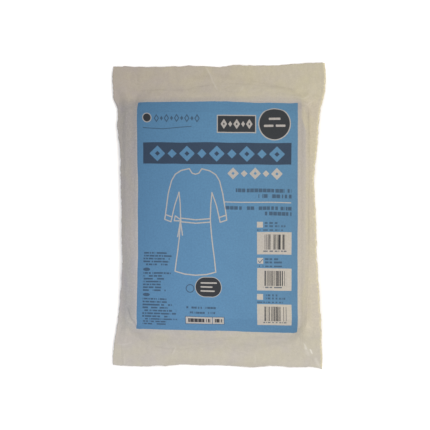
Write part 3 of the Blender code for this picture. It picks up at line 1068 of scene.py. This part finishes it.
def paperColourAndPaintedLight(sheet, share, inLength, cloud, fibre, folds):  # colour of the bare paper, with painted light and shade in its tones, folds and glints
    paint = sheet.paint
    ridge, trough = folds

    def corners(name):
        return cornerTone(paint, share.x, share.y, paperTonesAndPaintedLight[name])

    left, leftSoft = zones["leftWall"]
    right, farther, rightSoft = zones["rightWall"]
    rightEnd = sheet.y.band(*zones["wider"]) * farther + right
    overGown = (sheet.x - rightEnd).within(rightSoft) * (left - sheet.x).within(leftSoft) * inLength
    # the corner runs hold painted light and shade, darker toward the head left
    tone = paint.mix(inLength, corners("ends"), corners("sides"))
    tone = paint.mix(overGown, tone, corners("overGown"))
    # painted shade over the flat top beside the print
    tone = paint.times(sheet.x.band(*zones["top"]) * inLength, tone, paperTonesAndPaintedLight["paintedTopShade"])
    # patches of painted light and shade
    for *sides, soft, grey in paintedLightPatches:
        tone = paint.times(sheet.box(*sides).within(soft), tone, (grey, grey, grey, 1))
    # painted cool shade on the left wall toward the foot
    coolWallShade = sheet.x.band(*zones["wallFootX"]) * sheet.y.band(*zones["wallFootY"])
    tone = paint.times(coolWallShade, tone, paperTonesAndPaintedLight["coolWallShade"])
    patch = paint.mix(cloud, paperTonesAndPaintedLight["warm"], paperTonesAndPaintedLight["cool"])
    tone = paint.times(1 - overGown * 0.5, tone, patch)
    mottle = paint.patches(paint.vector("MULTIPLY", sheet.place, (1, 0.55, 1)), *noises["mottle"])
    tone = paint.times(mottle * (1 - inLength * 0.6), tone, paperTonesAndPaintedLight["mottle"])
    # a paler yellow band along the right cut edge, ragged by noise
    start, over, length, strength = paperTonesAndPaintedLight["rightEdgeBand"]
    rightEdgeShare = (share.x - start) * (1 / over) + (paint.clouds(sheet.place, length, 1) - 0.5) * strength
    tone = paint.mix(rightEdgeShare.scaled(1, 0), tone, paperTonesAndPaintedLight["rim"])
    fibres = paint.node("ShaderNodeValToRGB", {"stops": paperTonesAndPaintedLight["fibres"]}, {0: fibre})
    tone = paint.times(paperTonesAndPaintedLight["fibreShare"], tone, fibres)
    # painted highlight along the crease ridges
    tone = paint.mix(ridge * foldLines["pale"], tone, paperTonesAndPaintedLight["paintedHighlight"])
    # painted shade in the troughs and broad folds
    tone = paint.times(trough, tone, paperTonesAndPaintedLight["foldShade"])
    wide = sheet.strokes(foldLines["wide"]).near(foldLines["wideWidth"])
    tone = paint.times(wide * foldLines["wideDepth"], tone, paperTonesAndPaintedLight["foldShade"])
    deep = sheet.strokes(foldLines["deep"]).near(foldLines["deepWidth"])
    tone = paint.times(deep, tone, paperTonesAndPaintedLight["deepFoldShade"])
    # painted highlights: small glints on the foot flap
    for path, width, pale in foldLines["paintedGlints"]:
        tone = paint.mix(sheet.strokes([path]).near(width) * pale, tone, paperTonesAndPaintedLight["paintedHighlight"])
    return tone


def paperRelief(sheet, share, inLength, fibre, folds):  # normal of the paper
    paint, flat = sheet.paint, sheet.place
    ridge, trough = folds
    blank = 1 - sheet.x.band(*zones["printX"]) * sheet.y.band(*zones["printY"])
    wide, fine = [paint.veins(flat, length) for length in reliefs["wrinkleLengths"]]
    kept = blank * (1 - reliefs["onPrint"]) + reliefs["onPrint"]
    normal = paint.bump((wide + fine * reliefs["fineShare"]) * kept, *reliefs["wrinkle"])
    stretched = paint.mix(inLength, (0.45, 1, 1, 1), (1, 0.4, 1, 1))
    thin = paint.veins(paint.vector("MULTIPLY", flat, stretched), reliefs["thinLength"])
    thin = thin.near(reliefs["thinWidth"]) * paint.patches(flat, *noises["lines"])
    normal = paint.bump(ridge - trough + thin * blank * 0.5, *reliefs["folds"], normal)
    ribs = ((share.y * (pouch["halfLength"] / reliefs["ribPitch"])).fraction() - 0.5).size()
    sealBand = share.y.size() > 1 - pouch["sealWidth"] / pouch["halfLength"]
    normal = paint.bump(ribs * sealBand, *reliefs["ribs"], normal)
    return paint.bump(fibre, *reliefs["fibre"], normal)


def printedPaper():
    paint = Paint("printed_medical_paper")
    sheet = Drawing(paint, paint.mapped("flat"))
    share = Drawing(paint, paint.mapped("shares", 1))
    marks = printPlace(sheet, share)
    panel = printPanel(marks)
    black, rims, onBlack = darkShapes(marks)
    headline = marks.lozenges(*lozengeRows["headline"])
    navy = marks.inked(marks.box(*shapes["banner"]).either(-1 * headline))
    fieldBare, codes, text = sizeFields(marks)
    bare = marks.inked(bareShapes(marks).both(rims)).either(fieldBare)
    text = reduce(Wire.either, [text, addressLines(marks), *[marks.dashes(*row) for row in textRows]])
    codes = reduce(Wire.either, [codes, *[marks.dashes(*row) for row in stampRows]])
    text = text.either(smallMarks(marks))

    cloud = paint.patches(sheet.place, *noises["cloud"])
    fibre = paint.clouds(sheet.place, 1.1, 3, 0.65)
    inLength = sheet.y.band(*zones["length"])
    worn = paint.patches(sheet.place, *noises["worn"])
    folds = []
    for paths, (varies, stays) in (("ridges", foldLines["wornRidge"]), ("troughs", foldLines["wornTrough"])):
        folds.append(sheet.strokes(foldLines[paths]).near(foldLines["width"]) * (worn * varies + stays))
    tone = paperColourAndPaintedLight(sheet, share, inLength, cloud, fibre, folds)

    ink = paint.mix(navy, inks["blue"], inks["navy"])
    ink = paint.mix(black, ink, inks["black"])
    ink = paint.mix(text * inks["textDepth"], ink, inks["text"])
    ink = paint.mix(codes, ink, inks["code"])
    # painted shade over the print: darker toward the head left and toward its sides
    reachX, reachY = inks["reach"]
    shade = cornerTone(paint, share.x * reachX, share.y * reachY, inks["shade"])
    paintedSideShade = paint.mix((share.x * share.x).scaled(inks["sidesFrom"], 0), inks["middle"], inks["sides"])
    ink = paint.times(1, ink, paint.times(1, shade, paintedSideShade))
    ink = paint.times(inks["wear"], ink, paint.mix(cloud, (1, 1, 1, 1), inks["worn"]))

    inkShare = panel * (1 - bare.both(1 - black)) * (1 - onBlack)
    inkShare = inkShare.either(text.either(codes) * panel)
    press = paint.patches(sheet.place, *noises["press"]).scaled(*inks["pressed"])
    coloured = paint.mix(inkShare * press, tone, ink)
    left, soft = zones["speckled"]
    specked = inLength * ((sheet.x - left).within(soft) * 0.6 + 0.55) + 0.45
    speck = paint.patches(sheet.place, *noises["speck"]) * specked
    paint.feed("Base Color", paint.times(speck, coloured, paperTonesAndPaintedLight["speck"]))
    paint.feed("Roughness", paperTonesAndPaintedLight["rough"] - inks["rough"] * inkShare)
    paint.feed("Specular IOR Level", 0.30)
    paint.feed("Normal", paperRelief(sheet, share, inLength, fibre, folds))
    return paint.material


paperFront.data.materials.append(printedPaper())
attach(paperFront, "root")
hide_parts("paper_front")

print("film: the clear back")

# Back web, mm
film = {
    "grid": (124, 168),
    "columns": [(0, 0), (0.50, 100), (0.62, 110), (0.88, 124), (1, 131)],
    "rows": [(0, 0), (0.54, 130), (0.64, 146), (0.87, 177), (1, 204)],
    "thickness": 0.12,
    "across": (111, 124.5),  # where it leaves the surface, and where it meets the paper
    "along": (146, 177),
    "lift": 0.22,  # its upper side over the surface, where it lies flat
    "wave": 0.42,
    "waveLength": 26,
    "creaseMost": 0.6,
    "colour": (0.93, 0.95, 0.95, 1),
    "haze": (18, 3, 0.6, 0.16, 0.04),  # length, detail, roughness, contrast and offset
    "ripple": (9, 3, 0.55),
    "rippleBump": (0.0012, 0.6),  # depth in metres and strength
    "fine": (2.4, 2, 0.5),
    "fineBump": (0.0002, 0.35),
}

# Wrinkles of the film under and beside the gown: from, to, rise, width, lean
filmCreases = [
    (-96, 132, -40, 118, 0.45, 3.2, 0.2),
    (-20, 138, 30, 124, 0.4, 2.8, 0.2),
    (58, 128, 104, 134, 0.45, 3, 0.2),
    (-104, 70, -76, 20, 0.4, 3.4, 0.1),
    (84, 84, 104, 30, 0.4, 3.2, 0.1),
    (-60, 64, 12, 40, 0.35, 4, 0.1),
    (24, -12, 84, -34, 0.4, 3.6, 0.1),
    (-88, -40, -30, -58, 0.4, 3.2, 0.1),
    (-104, -96, -80, -132, 0.45, 3, 0.2),
    (-20, -104, 40, -92, 0.35, 3.6, 0.1),
    (70, -96, 104, -124, 0.45, 3, 0.2),
    (-52, -138, 8, -130, 0.4, 3, 0.2),
]


def filmPlace(u, v):
    x, y = planOf(u, v, film["columns"], film["rows"])
    under = plateau(x, y, film["across"], film["along"])
    wave = film["wave"] * np.clip(grain(x, y, film["waveLength"], seed=44), 0, None)
    flat = film["lift"] + wave + np.clip(creased(filmCreases, x, y), 0, film["creaseMost"])
    sealed = sealedHeight(x, y)
    return x, y, sealed + (flat - sealed) * under


filmBack = foldedSheet("clear_film_back", *film["grid"], filmPlace, film["thickness"])


def clearFilm():
    paint = Paint("clear_film")
    flat = paint.mapped("flat")
    paint.feed("Base Color", film["colour"])
    paint.feed("Roughness", paint.patches(flat, *film["haze"]))
    paint.feed("IOR", 1.45)
    paint.feed("Transmission Weight", 1)
    normal = paint.bump(paint.clouds(flat, *film["ripple"]), *film["rippleBump"])
    paint.feed("Normal", paint.bump(paint.clouds(flat, *film["fine"]), *film["fineBump"], normal))
    return paint.material


filmBack.data.materials.append(clearFilm())
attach(filmBack, "root")
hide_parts("film_back")

print("gown: folded inside")

# Folded gown, mm: one long strip folded over and over, each run one soft ply of several layers
gown = {
    "runs": 13,
    "ply": 1.95,
    "drawIn": 6,  # the lowest run stops short by this
    "uneven": 1.6,
    "runSteps": 26,
    "turnSteps": 8,
    "lengthSteps": 46,
    "closeness": 1.35,  # how much closer its rows stand toward the ends
    "under": 0.25,  # the top run stays this far under the gown's full height
    "settle": 0.25,  # and sinks by this
    "wave": 0.25,
    "waveLength": 60,
    "dentMost": 0.38,
    "light": (0.150, 0.290, 0.465, 1),
    "dark": (0.105, 0.225, 0.390, 1),
    "bonded": (0.075, 0.170, 0.310, 1),
    "webBump": (0.00015, 0.4),
    "bondBump": (0.00018, 0.6),
}

# Soft dents along the layers under its lowest run: from, to, rise, width, lean
gownDents = [
    (-112, 96, 112, 88, 0.32, 3, 0),
    (-60, -146, -54, 146, 0.34, 3.4, 0),
    (38, -146, 46, 60, 0.3, 2.6, 0),
    (-54, 20, 46, 12, 0.3, 3, 0),
    (46, -40, 112, -52, 0.34, 2.8, 0),
    (-112, -70, -58, -62, 0.28, 3, 0),
    (60, 60, 104, 128, 0.26, 3.6, 0),
]


def gownProfile():
    # Points along the strip: share of the way across, how far out, level of its middle, rise from there
    ply, runs, runSteps, turnSteps = [gown[key] for key in ("ply", "runs", "runSteps", "turnSteps")]
    pitch = (pouch["gownTop"] - gown["under"] - pouch["gownBottom"] - ply) / (runs - 1)
    radius = pitch / 2
    points = []
    for run in range(runs):
        height = pouch["gownBottom"] + ply / 2 + run * pitch
        side = 1 if run % 2 == 0 else -1
        for step in range(runSteps):
            points.append((side * (2 * step / (runSteps - 1) - 1), 0, height, side * ply / 2))
        if run < runs - 1:
            turn = radius - side * ply / 2  # the strip's front is inside every other fold
            for step in range(1, turnSteps):
                angle = math.pi * step / turnSteps
                middle = height + radius * (1 - math.cos(angle))
                rise = height + radius - turn * math.cos(angle) - middle
                points.append((side, turn * math.sin(angle), middle, rise))
    return points, radius


def foldedGown(name):
    points, radius = gownProfile()
    share, bulge, height, rise = np.array(points).T
    level = (height + gown["ply"] / 2 - pouch["gownBottom"]) / (pouch["gownTop"] - pouch["gownBottom"])
    past = np.clip((level - pouch["shoulderFrom"]) / (1 - pouch["shoulderFrom"]), 0, 1)
    drawn = pouch["shoulder"] * past ** pouch["shoulderPower"]
    drawn = drawn + gown["drawIn"] * np.clip(1 - 4 * level, 0, 1) ** 2
    rows = np.linspace(-1, 1, gown["lengthSteps"] + 1)
    rows = np.sign(rows) * (1 - (1 - np.abs(rows)) ** gown["closeness"])

    def place(u, v):
        k = np.clip(np.rint((u + 1) / 2 * (len(points) - 1)).astype(int), 0, len(points) - 1)
        along = np.interp(v, np.linspace(-1, 1, len(rows)), rows)
        folds = np.floor((height[k] - pouch["gownBottom"]) / (2 * radius) + 0.5 * (share[k] > 0))
        ragged = gown["uneven"] * np.abs(grain(folds * 7.3, along * 3.1, 1, seed=61) + 0.3)
        straight = pouch["gownReach"] - radius - gown["ply"] / 2 - drawn[k] - ragged
        x = share[k] * straight + np.sign(share[k]) * bulge[k]
        ends = gown["uneven"] * np.abs(grain(height[k] * 0.9, np.sign(along) * 9, 1, seed=71) + 0.2)
        y = along * (pouch["gownEnd"] - drawn[k] - ends * np.abs(along) ** 6)
        # rounds the corners of the block
        straightX = pouch["gownReach"] - pouch["gownCorner"]
        straightY = pouch["gownEnd"] - pouch["gownCorner"]
        coreX, coreY = np.clip(x, -straightX, straightX), np.clip(y, -straightY, straightY)
        outX, outY = x - coreX, y - coreY
        far = np.maximum(np.hypot(outX, outY), 1e-6)
        inward = np.where((outX != 0) & (outY != 0), np.maximum(np.abs(outX), np.abs(outY)) / far, 1)
        x, y = coreX + outX * inward, coreY + outY * inward
        wave = gown["wave"] * grain(x, y, gown["waveLength"], seed=14)
        dent = creased(gownDents, x, y) * np.clip(1 - 6 * (level[k] - level[0]), 0, 1)
        lowered = level[k] * (gownDrop(x, y) - wave) + gown["settle"] * level[k]
        return x, y, height[k] + rise[k] - lowered + np.minimum(dent, gown["dentMost"])

    return foldedSheet(name, len(points) - 1, gown["lengthSteps"], place, gown["ply"])


gownPiece = foldedGown("folded_gown")


def nonwoven():
    paint = Paint("blue_nonwoven")
    flat = paint.mapped("flat")
    web = paint.clouds(flat, 3, 4, 0.7)
    tone = paint.mix(web, gown["dark"], gown["light"])
    points = paint.node("ShaderNodeTexVoronoi", {"feature": "F1"}, {
        "Vector": flat, "Scale": 0.9, "Randomness": 0.15})
    bond = points.scaled(-4, 1.6)
    paint.feed("Base Color", paint.mix(bond * 0.45, tone, gown["bonded"]))
    paint.feed("Roughness", 0.82 - 0.22 * bond)
    normal = paint.bump(1 - bond, *gown["bondBump"])
    paint.feed("Normal", paint.bump(web, *gown["webBump"], normal))
    return paint.material


gownPiece.data.materials.append(nonwoven())
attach(gownPiece, "root")
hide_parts("gown_folded")

print("studio: floor, light and camera")

studio = {
    "floor": (0.96, 0.96, 0.96, 1),
    "floorShade": 0.985,
    "floorSize": 6,
    "world": (0.965, 0.960, 0.985, 1),
    "worldStrength": 0.83,
    "key": ((0.17, -0.02, 0.63), 0.34, 2.4, (1, 0.92, 0.79)),  # place, size, power and colour
    "headFill": ((0.10, 0.62, 0.42), 0.50, 1.1, (1, 0.96, 0.92)),
    "footFill": ((-0.28, -0.62, 0.42), 0.50, 0.9, (0.98, 0.97, 1)),
    "aim": (-0.0026, 0.0007, 0.017),
    "distance": 1.10,
    "tilt": 5,
    "lens": 69.21,
}


def plainFloor():
    mesh = bmesh.new()
    bmesh.ops.create_grid(mesh, x_segments=8, y_segments=8, size=studio["floorSize"] / 2)
    data = bpy.data.meshes.new("floor")
    mesh.to_mesh(data)
    mesh.free()
    floor = bpy.data.objects.new("floor", data)
    bpy.context.collection.objects.link(floor)
    paint = Paint("pale_floor")
    place = paint.node("ShaderNodeTexCoord", None, None, 3)
    soft = paint.clouds(place, 0.35, 2)
    shade = [c * studio["floorShade"] for c in studio["floor"][:3]] + [1]
    paint.feed("Base Color", paint.mix(soft, studio["floor"], shade))
    paint.feed("Roughness", 0.9)
    paint.feed("Specular IOR Level", 0.1)
    data.materials.append(paint.material)
    return floor


plainFloor()

world = bpy.data.worlds.new("soft_room")
world.use_nodes = True
world.node_tree.nodes["Background"].inputs["Color"].default_value = studio["world"]
world.node_tree.nodes["Background"].inputs["Strength"].default_value = studio["worldStrength"]
bpy.context.scene.world = world

for lamp in ("key", "headFill", "footFill"):
    place, size, power, colour = studio[lamp]
    lampData = bpy.data.lights.new(lamp, "AREA")
    lampData.size = size
    lampData.energy = power
    lampData.color = colour
    light = bpy.data.objects.new(lamp, lampData)
    light.location = place
    light.rotation_euler = (Vector(studio["aim"]) - light.location).to_track_quat("-Z", "Y").to_euler()
    bpy.context.collection.objects.link(light)

cameraData = bpy.data.cameras.new("camera")
cameraData.lens = studio["lens"]
camera = bpy.data.objects.new("camera", cameraData)
tilt = math.radians(studio["tilt"])
camera.location = Vector(studio["aim"]) + studio["distance"] * Vector((math.sin(tilt), 0, math.cos(tilt)))
camera.rotation_euler = (0, tilt, 0)
bpy.context.collection.objects.link(camera)
bpy.context.scene.camera = camera
bpy.context.scene.view_settings.view_transform = "Standard"
